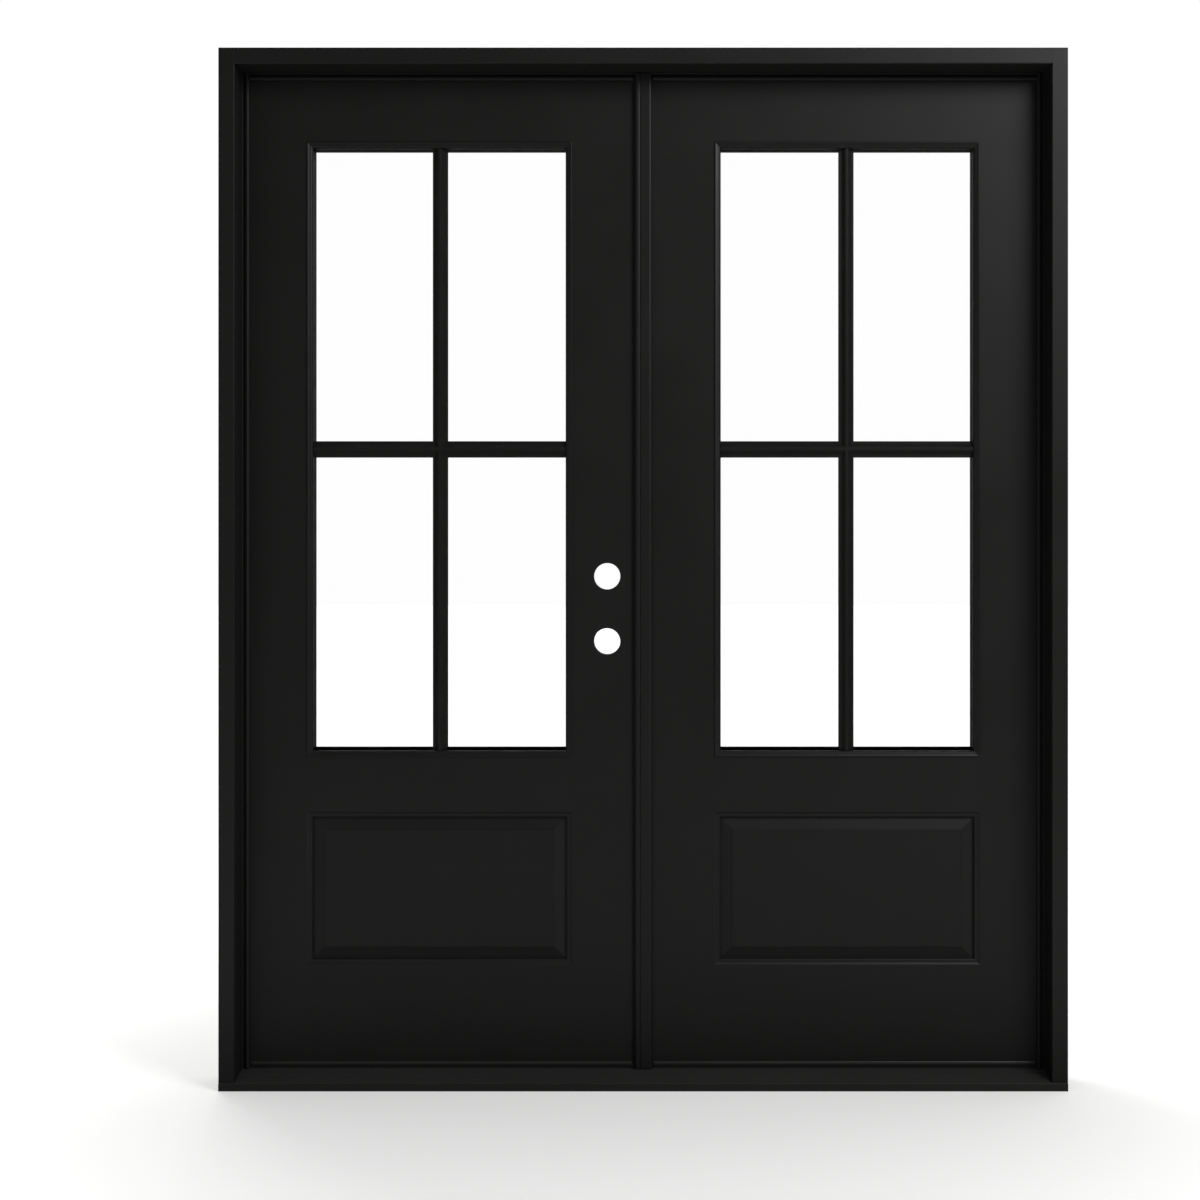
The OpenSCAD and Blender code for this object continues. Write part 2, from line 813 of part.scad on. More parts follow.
module frame_hinge(z) {
    difference() {
        translate([-pin_x, pin_y, z])
            hinge_leaf([0, 2, 4], [1, 3], pin_x - rabbet_x - plate_t);
        at_jamb_screws() screw_hole(jamb_screw_l);
    }
}

module leaf_hinge(z) {
    difference() {
        translate([-pin_x, pin_y, z])
            hinge_leaf([1, 3], [0, 2, 4], pin_x - hinge_edge_x);
        at_leaf_screws() screw_hole(leaf_screw_l);
    }
}

module left_frame_hinge_top() {
    color(hinge_black) frame_hinge(hinge_z_top);
}

module left_frame_hinge_middle() {
    color(hinge_black) frame_hinge(hinge_z_middle);
}

module left_frame_hinge_bottom() {
    color(hinge_black) frame_hinge(hinge_z_bottom);
}

module right_frame_hinge_top() {
    color(hinge_black) on_right() frame_hinge(hinge_z_top);
}

module right_frame_hinge_middle() {
    color(hinge_black) on_right() frame_hinge(hinge_z_middle);
}

module right_frame_hinge_bottom() {
    color(hinge_black) on_right() frame_hinge(hinge_z_bottom);
}

module left_leaf_hinge_top() {
    color(hinge_black) leaf_hinge(hinge_z_top);
}

module left_leaf_hinge_middle() {
    color(hinge_black) leaf_hinge(hinge_z_middle);
}

module left_leaf_hinge_bottom() {
    color(hinge_black) leaf_hinge(hinge_z_bottom);
}

module right_leaf_hinge_top() {
    color(hinge_black) on_right() leaf_hinge(hinge_z_top);
}

module right_leaf_hinge_middle() {
    color(hinge_black) on_right() leaf_hinge(hinge_z_middle);
}

module right_leaf_hinge_bottom() {
    color(hinge_black) on_right() leaf_hinge(hinge_z_bottom);
}

// A pin is turned in one piece: a head, the shank and a button at its foot
module hinge_pins() {
    for (z = hinge_zs)
        translate([-pin_x, pin_y, z])
            rotate_extrude()
                polygon([
                    [0, -hinge_h / 2 - pin_head_h], [pin_head_r * 0.6, -hinge_h / 2 - pin_head_h],
                    [pin_head_r, -hinge_h / 2 - pin_head_h * 0.6], [pin_head_r, -hinge_h / 2],
                    [pin_r, -hinge_h / 2], [pin_r, hinge_h / 2], [pin_head_r, hinge_h / 2],
                    [pin_head_r, hinge_h / 2 + pin_head_h * 0.6],
                    [pin_head_r * 0.6, hinge_h / 2 + pin_head_h], [0, hinge_h / 2 + pin_head_h]
                ]);
}

module left_hinge_pins() {
    color(hinge_black) hinge_pins();
}

module right_hinge_pins() {
    color(hinge_black) on_right() hinge_pins();
}

module left_jamb_screws() {
    color(hinge_black) at_jamb_screws() screw(jamb_screw_l);
}

module right_jamb_screws() {
    color(hinge_black) on_right() at_jamb_screws() screw(jamb_screw_l);
}

module left_leaf_screws() {
    color(hinge_black) at_leaf_screws() screw(leaf_screw_l);
}

module right_leaf_screws() {
    color(hinge_black) on_right() at_leaf_screws() screw(leaf_screw_l);
}

// Leaves

// The moulding round the panel falls to a groove, from which a bevelled field rises again
module panel_cut() {
    bevel_start = stick_w + groove_w;
    difference() {
        mitred(lite_w, panel_h, concat(
            [[0, -over], [0, 0], [stick_slope, stick_drop]],
            arc([stick_w - stick_r, stick_drop + stick_r], stick_r, -90, 0),
            [[stick_w, groove_depth]]
        ));
        mitred(lite_w, panel_h, [
            [bevel_start, groove_depth + over], [bevel_start, groove_depth],
            [bevel_start + bevel_w, bevel_top], [bevel_start + bevel_w, field_depth]
        ]);
    }
}

module slab() {
    difference() {
        translate([-hinge_edge_x, leaf_out_y, leaf_z0])
            cube([leaf_w, leaf_t, leaf_h]);
        translate([lite_x, leaf_mid_y, lite_z])
            cube([cut_w, leaf_t + 2 * over, cut_h], center = true);
        on_both_faces()
            translate([lite_x, leaf_out_y, panel_z])
                panel_cut();
        for (z = hinge_zs)
            translate([-hinge_edge_x - hinge_gap / 2, 0, z])
                plate_recess();
        at_leaf_screws() screw_hole(leaf_screw_l);
    }
}

// Two bores through the leaf, each met by a smaller one from the edge, with a latch plate's recess
module lock_bores() {
    for (z = bore_zs) {
        translate([bore_x, leaf_mid_y, z])
            rotate([90, 0, 0])
                cylinder(h = leaf_t + 2 * over, r = lock_bore_r, center = true);
        translate([bore_x, leaf_mid_y, z])
            rotate([0, 90, 0])
                cylinder(h = backset + over, r = edge_bore_r);
        translate([-lock_edge_x, leaf_mid_y, z])
            cube([2 * face_t, face_w, face_h], center = true);
    }
}

module left_slab() {
    color(door_black)
        difference() {
            slab();
            lock_bores();
        }
}

module right_slab() {
    color(door_black)
        difference() {
            on_right() slab();
            at_astragal_screws() screw_hole(astragal_screw_l);
        }
}

// Window frame: a lip on the leaf's face that slopes inwards, a sleeve in its cut-out and a quarter
// round to the glass
function lite_opening_side(inset) = concat(
    [[lip_r + lip_crest + inset, -lip_h - over], [lip_r + lip_crest + inset, -lip_h]],
    arc([lip_slope + inset, lip_fall - lip_h + quarter_r], quarter_r, -90, 0),
    [[mould_w + inset, glass_depth + over]]
);

module lite_frame() {
    translate([lite_x, leaf_out_y, lite_z])
        difference() {
            union() {
                mitred(lite_w, lite_h, concat([[0, 0]], arc([lip_r, lip_r - lip_h], lip_r, 180, 270)));
                sleeve_d = glass_depth - bedding;
                translate([0, (sleeve_d - lip_h / 2) / 2, 0])
                    cube(
                        [cut_w - 2 * let_in_gap, sleeve_d + lip_h / 2, cut_h - 2 * let_in_gap],
                        center = true
                    );
            }
            mitred(lite_w, lite_h, lite_opening_side(0));
        }
}

module pane(y) {
    translate([lite_x, y + pane_t / 2, lite_z])
        cube([glass_w, pane_t, glass_h], center = true);
}

module glass_spacer() {
    outer_w = glass_w - 2 * spacer_inset;
    outer_h = glass_h - 2 * spacer_inset;
    translate([lite_x, leaf_mid_y, lite_z])
        difference() {
            cube([outer_w, pane_gap, outer_h], center = true);
            translate([0, 0, spacer_foot / 2])
                cube(
                    [outer_w - 2 * spacer_w, pane_gap + over, outer_h - 2 * spacer_w - spacer_foot],
                    center = true
                );
        }
}

// Glazing bars: shoulders, flanks and a ridge; the two bars meet in mitres where they cross,
// and their ends are coped to the window frame
module bar_section(w) {
    polygon([
        [-w / 2, 0], [-w / 2, -bar_edge], [bar_shoulder - w / 2, -bar_edge],
        [-bar_ridge / 2, -bar_h], [bar_ridge / 2, -bar_h],
        [w / 2 - bar_shoulder, -bar_edge], [w / 2, -bar_edge], [w / 2, 0]
    ]);
}

module glazing_bars() {
    translate([lite_x, 0, lite_z])
        intersection() {
            translate([0, glass_out_y, 0]) {
                standing(lite_h) bar_section(bar_v_w);
                translate([0, 0, bar_up])
                    lying(lite_w) bar_section(bar_h_w);
            }
            translate([0, leaf_out_y, 0])
                mitred(lite_w, lite_h, lite_opening_side(bar_cope));
        }
}

// Sweep under a leaf: a plate with three fins, and a round lip along the outdoor face
module sweep() {
    fin_h = leaf_z0 - sweep_t - sweep_z;
    lip_back = leaf_out_y + sweep_lip;
    lip_z = sweep_z + sweep_lip_up;
    lip_half = (leaf_z0 - lip_z) / 2;
    bull_r = (lip_half * lip_half + sweep_lip * sweep_lip) / (2 * sweep_lip);
    bull_angle = asin(lip_half / bull_r);
    bull_c = [leaf_out_y - sweep_lip + bull_r, lip_z + lip_half];
    translate([-(hinge_edge_x + lock_edge_x) / 2, 0, 0])
        along_x(leaf_w) {
            translate([leaf_out_y, leaf_z0 - sweep_t])
                square([leaf_t, sweep_t]);
            for (y = [leaf_out_y + sweep_lip, leaf_mid_y - fin_t / 2, leaf_in_y - fin_t - sweep_lip])
                translate([y, sweep_z])
                    square([fin_t, fin_h + over]);
        }
    translate([-(sweep_lip_x0 + sweep_lip_x1) / 2, 0, 0])
        along_x(sweep_lip_x0 - sweep_lip_x1)
            polygon(concat(
                [[lip_back, lip_z]],
                arc(bull_c, bull_r, 180 + bull_angle, 180 - bull_angle),
                [[leaf_out_y, leaf_z0 - sweep_t / 2], [lip_back, leaf_z0 - sweep_t / 2]]
            ));
}

module left_outdoor_lite_frame() {
    color(door_black) lite_frame();
}

module left_indoor_lite_frame() {
    color(door_black) on_room_face() lite_frame();
}

module left_outer_pane() {
    color(glass_tint, 0.35) pane(glass_out_y);
}

module left_inner_pane() {
    color(glass_tint, 0.35) pane(glass_out_y + pane_t + pane_gap);
}

module left_glass_spacer() {
    color(spacer_grey) glass_spacer();
}

module left_outdoor_bars() {
    color(door_black) glazing_bars();
}

module left_indoor_bars() {
    color(door_black) on_room_face() glazing_bars();
}

module left_sweep() {
    color(seal_black) sweep();
}

module right_outdoor_lite_frame() {
    color(door_black) on_right() lite_frame();
}

module right_indoor_lite_frame() {
    color(door_black) on_right() on_room_face() lite_frame();
}

module right_outer_pane() {
    color(glass_tint, 0.35) on_right() pane(glass_out_y);
}

module right_inner_pane() {
    color(glass_tint, 0.35) on_right() pane(glass_out_y + pane_t + pane_gap);
}

module right_glass_spacer() {
    color(spacer_grey) on_right() glass_spacer();
}

module right_outdoor_bars() {
    color(door_black) on_right() glazing_bars();
}

module right_indoor_bars() {
    color(door_black) on_right() on_room_face() glazing_bars();
}

module right_sweep() {
    color(seal_black) on_right() sweep();
}

// Astragal on the right leaf

// Face moulding: a bead, a groove and a flat with a round edge, held by the web's tongue
module astragal_face() {
    half = astragal_w / 2;
    bead_c = [bead_r - half, face_front_y + bead_r];
    quirk_angle = 310;
    quirk = bead_c + bead_r * [cos(quirk_angle), sin(quirk_angle)];
    color(door_black)
        translate([0, 0, face_z0])
            linear_extrude(face_z1 - face_z0)
                difference() {
                    polygon(concat(
                        [[-half, leaf_out_y]],
                        arc(bead_c, bead_r, 180, quirk_angle),
                        [quirk + [quirk_w, 0], [quirk[0] + 2 * quirk_w, face_front_y]],
                        arc([half - astragal_r, face_front_y + astragal_r], astragal_r, 270, 360),
                        [[half, leaf_out_y]]
                    ));
                    translate([-tongue_w / 2 - let_in_gap, leaf_out_y - tongue_d - let_in_gap])
                        square([tongue_w + 2 * let_in_gap, tongue_d + let_in_gap + over]);
                }
}

// Post behind the face, with the bolts' channel and the seal's kerf in its left side
module astragal_web() {
    color(door_black)
        difference() {
            union() {
                translate([0, 0, face_z0])
                    linear_extrude(leaf_z1 - face_z0)
                        difference() {
                            translate([web_x, leaf_out_y])
                                square([lock_edge_x - web_x, leaf_t]);
                            translate([web_x - over, channel_y])
                                square([channel_d + over, channel_w]);
                            translate([web_x - over, meet_seal_y - kerf_w / 2])
                                square([kerf_d + over, kerf_w]);
                        }
                translate([-tongue_w / 2, leaf_out_y - tongue_d, face_z0])
                    cube([tongue_w, tongue_d + over, face_z1 - face_z0]);
            }
            for (z = bore_zs)
                translate([web_x, leaf_mid_y, z])
                    cube([2 * strike_t, face_w + 2 * let_in_gap, face_h + 2 * let_in_gap], center = true);
            at_astragal_screws() screw_hole(astragal_screw_l);
        }
}

// Soft pad that closes the gap to the left leaf, on a stem in the web's kerf
module astragal_seal() {
    tip_x = web_x - astragal_gap + let_in_gap;
    stem_w = kerf_w - 2 * stem_play;
    color(seal_black)
        translate([0, meet_seal_y, face_z0])
            linear_extrude(leaf_z1 - face_z0) {
                polygon([
                    [web_x, meet_half], [tip_x + meet_taper, meet_half], [tip_x, 0],
                    [tip_x, meet_taper - meet_half], [tip_x + meet_taper / 2, -meet_half],
                    [web_x, -meet_half]
                ]);
                translate([web_x - over / 2, -stem_w / 2])
                    square([kerf_d - stem_play + over / 2, stem_w]);
            }
}

module astragal_screws() {
    color(wood_screw_grey) at_astragal_screws() screw(astragal_screw_l);
}

// Strike plates for the latch and the dead bolt, let into the web over its channel
module astragal_strikes() {
    color(steel)
        for (z = bore_zs)
            translate([web_x + strike_t / 2, leaf_mid_y, z])
                difference() {
                    cube([strike_t, face_w, face_h], center = true);
                    cube([strike_t + over, channel_w - 2 * strike_t, face_h / 2], center = true);
                }
}

module guide_block(z, length) {
    difference() {
        translate([web_x + let_in_gap, leaf_mid_y - guide_w / 2, z])
            cube([channel_d - let_in_gap, guide_w, length]);
        translate([bolt_x, leaf_mid_y, z - over])
            cylinder(h = length + 2 * over, r = guide_bore);
    }
}

module bolt_guides() {
    color(hinge_black) {
        guide_block(top_tip_z - guide_l, guide_l);
        guide_block(top_tip_z - bolt_l + inner_guide_l / 2, inner_guide_l);
        guide_block(foot_tip_z, guide_l);
        guide_block(foot_tip_z + bolt_l - 1.5 * inner_guide_l, inner_guide_l);
    }
}

// A bolt with its tip at the origin, drawn hanging down: a rod and the thumb piece that moves it
module flush_bolt() {
    thumb_w = guide_w - 2 * let_in_gap;
    translate([0, 0, -bolt_l]) cylinder(h = bolt_l - bolt_r / 2, r = bolt_r);
    translate([0, 0, -bolt_r / 2]) cylinder(h = bolt_r / 2, r1 = bolt_r, r2 = bolt_r / 2);
    difference() {
        translate([web_x - bolt_x + let_in_gap, -thumb_w / 2, -bolt_l / 2 - thumb_h / 2])
            cube([bolt_x - web_x - let_in_gap, thumb_w, thumb_h]);
        translate([web_x - bolt_x, 0, -bolt_l / 2])
            rotate([90, 0, 0])
                cylinder(h = thumb_w + over, r = bolt_r / 2, center = true);
    }
}

module top_flush_bolt() {
    color(steel) translate([bolt_x, leaf_mid_y, top_tip_z]) flush_bolt();
}

module bottom_flush_bolt() {
    color(steel) translate([bolt_x, leaf_mid_y, foot_tip_z]) mirror([0, 0, 1]) flush_bolt();
}

left_jamb();
right_jamb();
head_jamb();
sill_base();
sill_deck();
threshold_cap();
left_jamb_seal();
right_jamb_seal();
head_seal();
left_frame_hinge_top();
left_frame_hinge_middle();
left_frame_hinge_bottom();
right_frame_hinge_top();
right_frame_hinge_middle();
right_frame_hinge_bottom();
left_hinge_pins();
right_hinge_pins();
left_jamb_screws();
right_jamb_screws();
head_bolt_strike();
sill_bolt_strike();
strike_screws();
frame_screws();
left_slab();
left_outdoor_lite_frame();
left_indoor_lite_frame();
left_outer_pane();
left_inner_pane();
left_glass_spacer();
left_outdoor_bars();
left_indoor_bars();
left_sweep();
left_leaf_hinge_top();
left_leaf_hinge_middle();
left_leaf_hinge_bottom();
left_leaf_screws();
right_slab();
right_outdoor_lite_frame();
right_indoor_lite_frame();
right_outer_pane();
right_inner_pane();
right_glass_spacer();
right_outdoor_bars();
right_indoor_bars();
right_sweep();
right_leaf_hinge_top();
right_leaf_hinge_middle();
right_leaf_hinge_bottom();
right_leaf_screws();
astragal_face();
astragal_web();
astragal_seal();
astragal_screws();
astragal_strikes();
bolt_guides();
top_flush_bolt();
bottom_flush_bolt();
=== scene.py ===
"""Dresses a prehung pair of french doors: finishes, screws with driven heads, studio and camera.

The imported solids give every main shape. This script gives each of them its real finish, breaks the
sharp edges that a sprayed or moulded piece never has, and swaps the plain screws for driven ones.
Lengths are in metres unless a name or a docstring says millimetres, in the frame of the solids:
+X right, +Y into the room, +Z up.
"""

from __future__ import annotations

import json
import logging
import math
from abc import ABC, abstractmethod
from dataclasses import dataclass, field
from enum import Enum

import bmesh
import bpy
from mathutils import Matrix, Vector

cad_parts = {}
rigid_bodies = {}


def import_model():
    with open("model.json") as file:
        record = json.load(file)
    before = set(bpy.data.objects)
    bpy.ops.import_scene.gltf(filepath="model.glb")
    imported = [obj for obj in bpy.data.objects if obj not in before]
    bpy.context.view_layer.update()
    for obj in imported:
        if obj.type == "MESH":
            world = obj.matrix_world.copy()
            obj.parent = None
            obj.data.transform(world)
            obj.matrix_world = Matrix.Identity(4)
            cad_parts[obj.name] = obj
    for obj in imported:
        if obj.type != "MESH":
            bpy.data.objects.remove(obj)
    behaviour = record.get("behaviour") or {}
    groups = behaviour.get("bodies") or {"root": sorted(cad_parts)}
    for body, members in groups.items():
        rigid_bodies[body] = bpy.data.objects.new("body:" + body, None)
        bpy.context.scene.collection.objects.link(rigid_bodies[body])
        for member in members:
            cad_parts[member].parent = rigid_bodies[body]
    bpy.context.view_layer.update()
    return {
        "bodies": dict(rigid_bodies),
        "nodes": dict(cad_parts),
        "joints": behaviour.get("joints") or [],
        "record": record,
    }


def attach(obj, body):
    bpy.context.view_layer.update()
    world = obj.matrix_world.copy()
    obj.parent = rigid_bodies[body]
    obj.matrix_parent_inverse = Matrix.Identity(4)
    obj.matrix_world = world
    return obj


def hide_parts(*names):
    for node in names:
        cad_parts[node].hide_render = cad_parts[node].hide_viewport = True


LOG = logging.getLogger("french_doors")
MM = 0.001
PHOTO_PX = 1200.0
WHITE = (1.0, 1.0, 1.0, 1.0)

# Sockets that share their name with another one of the same node, by number.
FROM_MIN, FROM_MAX, TO_MIN, TO_MAX = 1, 2, 3, 4
FACTOR, NUMBER_A, NUMBER_B = 0, 2, 3
COLOUR_A, COLOUR_B, COLOUR_OUT = 6, 7, 2

# How finely the noises are broken up, and the values between which most of a noise lies.
PATCH_DETAIL = 3.0
PATCH_BREAK = 0.55
RELIEF_DETAIL = 2.0
WAVE_DETAIL = 1.0
NOISE_SPAN = (0.3, 0.7)
# Rays that look for the edges that a finish softens.
EDGE_SAMPLES = 6

Point = tuple[float, float, float]
# A screw's head and the way its point looks.
Place = tuple[Point, Point]


class Side(Enum):
    """A side of the unit, as the sign of its X."""

    LEFT = -1
    RIGHT = 1

    @property
    def word(self) -> str:
        """The prefix that this side's nodes carry."""
        return self.name.lower()


class Run(Enum):
    """The axis along which a surface was drawn or brushed."""

    ALONG_X = 0
    ALONG_Z = 2


def linear(hex_colour: str) -> tuple[float, float, float, float]:
    """Turns an sRGB hex colour into linear light.

    Args:
        hex_colour: Six hex digits with a leading hash.

    Returns:
        Red, green, blue and an alpha of one.
    """
    parts = [int(hex_colour[i : i + 2], 16) / 255.0 for i in (1, 3, 5)]
    rgb = [p / 12.92 if p <= 0.04045 else ((p + 0.055) / 1.055) ** 2.4 for p in parts]
    return (rgb[0], rgb[1], rgb[2], 1.0)


def add_node(
    tree: bpy.types.NodeTree, kind: str, inputs: dict | None = None, **settings: object
) -> bpy.types.Node:
    """Adds one node, sets its properties and fills or links its sockets.

    Args:
        tree: The node tree that takes the node.
        kind: The node's type name.
        inputs: Socket name or number to a value, or to the output socket that feeds it.
        settings: Properties of the node itself.

    Returns:
        The new node.
    """
    node = tree.nodes.new(kind)
    for name, value in settings.items():
        setattr(node, name, value)
    for key, value in (inputs or {}).items():
        if isinstance(value, bpy.types.NodeSocket):
            tree.links.new(value, node.inputs[key])
        else:
            node.inputs[key].default_value = value
    return node


def new_material(name: str) -> tuple[bpy.types.Material, bpy.types.Node, bpy.types.NodeSocket]:
    """Starts a material.

    Args:
        name: The material's name.

    Returns:
        The material, its shader and the socket that gives the place on the object.
    """
    mat = bpy.data.materials.new(name)
    mat.use_nodes = True
    place = add_node(mat.node_tree, "ShaderNodeTexCoord").outputs["Object"]
    return mat, mat.node_tree.nodes["Principled BSDF"], place


@dataclass(frozen=True)
class Surface(ABC):
    """What a piece shows to the eye.

    Attributes:
        name: The material's name, after what the real one is.
    """

    name: str

    def material(self) -> bpy.types.Material:
        """Builds the material, or returns the one that was built before."""
        found = bpy.data.materials.get(self.name)
        return found if found else self._build()

    @abstractmethod
    def _build(self) -> bpy.types.Material:
        """Builds the material and its node tree."""


@dataclass(frozen=True)
class Finish(Surface):
    """A colour that drifts a little, a roughness that drifts with it and a fine relief.

    Attributes:
        dark: Colour in the darker patches, sRGB hex.
        light: Colour in the lighter patches, sRGB hex.
        rough: Lowest and highest roughness.
        metallic: Zero for paint, plastic and rubber, one for bare metal.
        ior: Index of refraction.
        patch_mm: Size of the patches in which colour and roughness drift.
        relief_mm: Spacing of the fine relief.
        relief_height_mm: Height of the fine relief.
        edge_mm: Radius to which the finish softens a sharp edge.
        haze: Faint light scatter of fine dust, seen along a surface.
        run: Axis along which the relief is drawn out, or None where it is even.
        stretch: How many times longer the relief is along that axis.
    """

    dark: str
    light: str
    rough: tuple[float, float]
    metallic: float = 0.0
    ior: float = 1.36
    patch_mm: float = 180.0
    relief_mm: float = 2.0
    relief_height_mm: float = 0.01
    edge_mm: float = 0.8
    haze: float = 0.0
    run: Run | None = None
    stretch: float = 60.0

    def _build(self) -> bpy.types.Material:
        """Builds the material and its node tree.

        Returns:
            The new material.
        """
        mat, shader, place = new_material(self.name)
        tree = mat.node_tree
        patch = add_node(
            tree,
            "ShaderNodeTexNoise",
            {
                "Vector": place,
                "Scale": 1.0 / (self.patch_mm * MM),
                "Detail": PATCH_DETAIL,
                "Roughness": PATCH_BREAK,
            },
        ).outputs["Fac"]
        tint = add_node(
            tree,
            "ShaderNodeMix",
            {"Factor": patch, COLOUR_A: linear(self.dark), COLOUR_B: linear(self.light)},
            data_type="RGBA",
        )
        drift = add_node(
            tree,
            "ShaderNodeMapRange",
            {
                "Value": patch,
                FROM_MIN: NOISE_SPAN[0],
                FROM_MAX: NOISE_SPAN[1],
                TO_MIN: self.rough[0],
                TO_MAX: self.rough[1],
            },
        )
        soft = add_node(
            tree, "ShaderNodeBevel", {"Radius": self.edge_mm * MM}, samples=EDGE_SAMPLES
        )
        relief = add_node(
            tree,
            "ShaderNodeBump",
            {
                "Height": self._relief_noise(tree, place),
                "Distance": self.relief_height_mm * MM,
                "Strength": 1.0,
                "Normal": soft.outputs["Normal"],
            },
        )
        tree.links.new(tint.outputs[COLOUR_OUT], shader.inputs["Base Color"])
        tree.links.new(drift.outputs["Result"], shader.inputs["Roughness"])
        tree.links.new(relief.outputs["Normal"], shader.inputs["Normal"])
        shader.inputs["Metallic"].default_value = self.metallic
        shader.inputs["Sheen Weight"].default_value = self.haze
        if not self.metallic:
            shader.inputs["IOR"].default_value = self.ior
        return mat

    def _relief_noise(
        self, tree: bpy.types.NodeTree, place: bpy.types.NodeSocket
    ) -> bpy.types.NodeSocket:
        """Makes the fine relief, drawn out along the run where there is one.

        Args:
            tree: The material's node tree.
            place: The socket that gives the place on the object.

        Returns:
            The socket that gives the relief's height.
        """
        if self.run is not None:
            scale = [1.0, 1.0, 1.0]
            scale[self.run.value] = 1.0 / self.stretch
            drawn = add_node(tree, "ShaderNodeMapping", {"Vector": place, "Scale": scale})
            place = drawn.outputs["Vector"]
        return add_node(
            tree,
            "ShaderNodeTexNoise",
            {"Vector": place, "Scale": 1.0 / (self.relief_mm * MM), "Detail": RELIEF_DETAIL},
        ).outputs["Fac"]


@dataclass(frozen=True)
class ClearGlass(Surface):
    """Float glass with a low-reflection coating: clear, with a slow roller wave.

    Attributes:
        tint: Colour of the light that passes, sRGB hex.
        ior: Index of refraction, held low because the coating takes most of the reflection away.
        wave_mm: Length of the roller wave.
        wave_height_mm: Height of the roller wave.
    """

    tint: str = "#ffffff"
    ior: float = 1.12
    wave_mm: float = 300.0
    wave_height_mm: float = 0.02

    def _build(self) -> bpy.types.Material:
        """Builds the material and its node tree.

        Returns:
            The new material.
        """
        mat, shader, place = new_material(self.name)
        tree = mat.node_tree
        wave = add_node(
            tree,
            "ShaderNodeTexNoise",
            {"Vector": place, "Scale": 1.0 / (self.wave_mm * MM), "Detail": WAVE_DETAIL},
        )
        relief = add_node(
            tree,
            "ShaderNodeBump",
            {
                "Height": wave.outputs["Fac"],
                "Distance": self.wave_height_mm * MM,
                "Strength": 1.0,
            },
        )
        tree.links.new(relief.outputs["Normal"], shader.inputs["Normal"])
        shader.inputs["Base Color"].default_value = linear(self.tint)
        shader.inputs["Roughness"].default_value = 0.0
        shader.inputs["IOR"].default_value = self.ior
        shader.inputs["Transmission Weight"].default_value = 1.0
        return mat


# Satin enamel sprayed on a moulded skin: near-black, soft broad gloss, a trace of orange peel.
LEAF_ENAMEL = Finish(
    "satin_enamel_on_moulded_skin",
    "#151514",
    "#181817",
    (0.42, 0.5),
    relief_mm=2.4,
)
# The same enamel on the jambs, over primed wood: longer in its mottling, with a trace of dust.
JAMB_ENAMEL = Finish(
    "satin_enamel_on_primed_jamb",
    "#151514",
    "#181817",
    (0.4, 0.48),
    patch_mm=260.0,
    haze=0.006,
)
# Moulded trim round the glass and on it: through-coloured, smoother than the sprayed skin.
TRIM_POLYMER = Finish(
    "moulded_acrylic_trim",
    "#151514",
    "#181817",
    (0.36, 0.42),
    patch_mm=90.0,
)
# Extruded sill, dyed black in its anodising: the dyed oxide hides the metal, so that it shines as
# a paint does, and fine die lines run along it.
SILL_ALUMINIUM = Finish(
    "black_anodised_aluminium",
    "#252524",
    "#2b2b2a",
    (0.48, 0.58),
    ior=1.3,
    haze=0.05,
    relief_mm=0.9,
    relief_height_mm=0.02,
    run=Run.ALONG_X,
    stretch=300.0,
)
# Extruded wood and polymer composite: matt, with short drawn flecks.
SILL_COMPOSITE = Finish(
    "extruded_black_composite",
    "#1c1c1b",
    "#242423",
    (0.55, 0.68),
    relief_mm=1.2,
    relief_height_mm=0.03,
    run=Run.ALONG_X,
    stretch=20.0,
)
# Extruded vinyl under each leaf: semi-gloss, with faint lines from the die.
SWEEP_VINYL = Finish(
    "extruded_vinyl_sweep",
    "#242423",
    "#2a2a29",
    (0.34, 0.44),
    relief_mm=1.5,
    run=Run.ALONG_X,
)
# Foam under a thin polymer film: soft, matt, slightly uneven.
SEAL_FOAM = Finish(
    "film_covered_foam_seal",
    "#151514",
    "#1a1a19",
    (0.5, 0.64),
    patch_mm=30.0,
    relief_mm=3.0,
    relief_height_mm=0.05,
    haze=0.01,
)
# Powder coat on stamped steel: even, with a fine leathery texture.
HINGE_COAT = Finish(
    "powder_coated_steel",
    "#1f1f1e",
    "#242423",
    (0.44, 0.54),
    relief_mm=0.7,
    relief_height_mm=0.02,
)
# Drawn steel rods and plates with a brushed nickel face: soft streaks along their height, drawn
# coarser than real ones so that they show.
BRUSHED_STEEL = Finish(
    "brushed_nickel_steel",
    "#9b9a95",
    "#b3b2ac",
    (0.3, 0.42),
    metallic=1.0,
    patch_mm=20.0,
    relief_mm=0.35,
    relief_height_mm=0.006,
    run=Run.ALONG_Z,
    stretch=40.0,
)
# Zinc-plated wood screws: bright, slightly clouded.
ZINC_PLATE = Finish(
    "zinc_plated_steel",
    "#8d8e8c",
    "#a7a7a2",
    (0.32, 0.48),
    metallic=1.0,
    patch_mm=4.0,
    relief_mm=0.5,
)
# Roll-formed spacer with a black coat, between the panes: a dull, dark line round the glass.
SPACER_COAT = Finish(
    "black_coated_spacer",
    "#151515",
    "#1b1b1b",
    (0.5, 0.6),
    relief_mm=1.0,
    relief_height_mm=0.02,
)
# Coated float glass: clear and colourless, with hardly a reflection.
COATED_GLASS = ClearGlass("coated_float_glass")

FINISH_OF_SLOT: dict[str, Surface] = {
    "satin_black": LEAF_ENAMEL,
    "black_composite": SILL_COMPOSITE,
    "black_anodised": SILL_ALUMINIUM,
    "black_seal": SEAL_FOAM,
    "black_steel": HINGE_COAT,
    "satin_steel": BRUSHED_STEEL,
    "zinc_screws": ZINC_PLATE,
    "clear_glass": COATED_GLASS,
    "spacer_metal": SPACER_COAT,
}


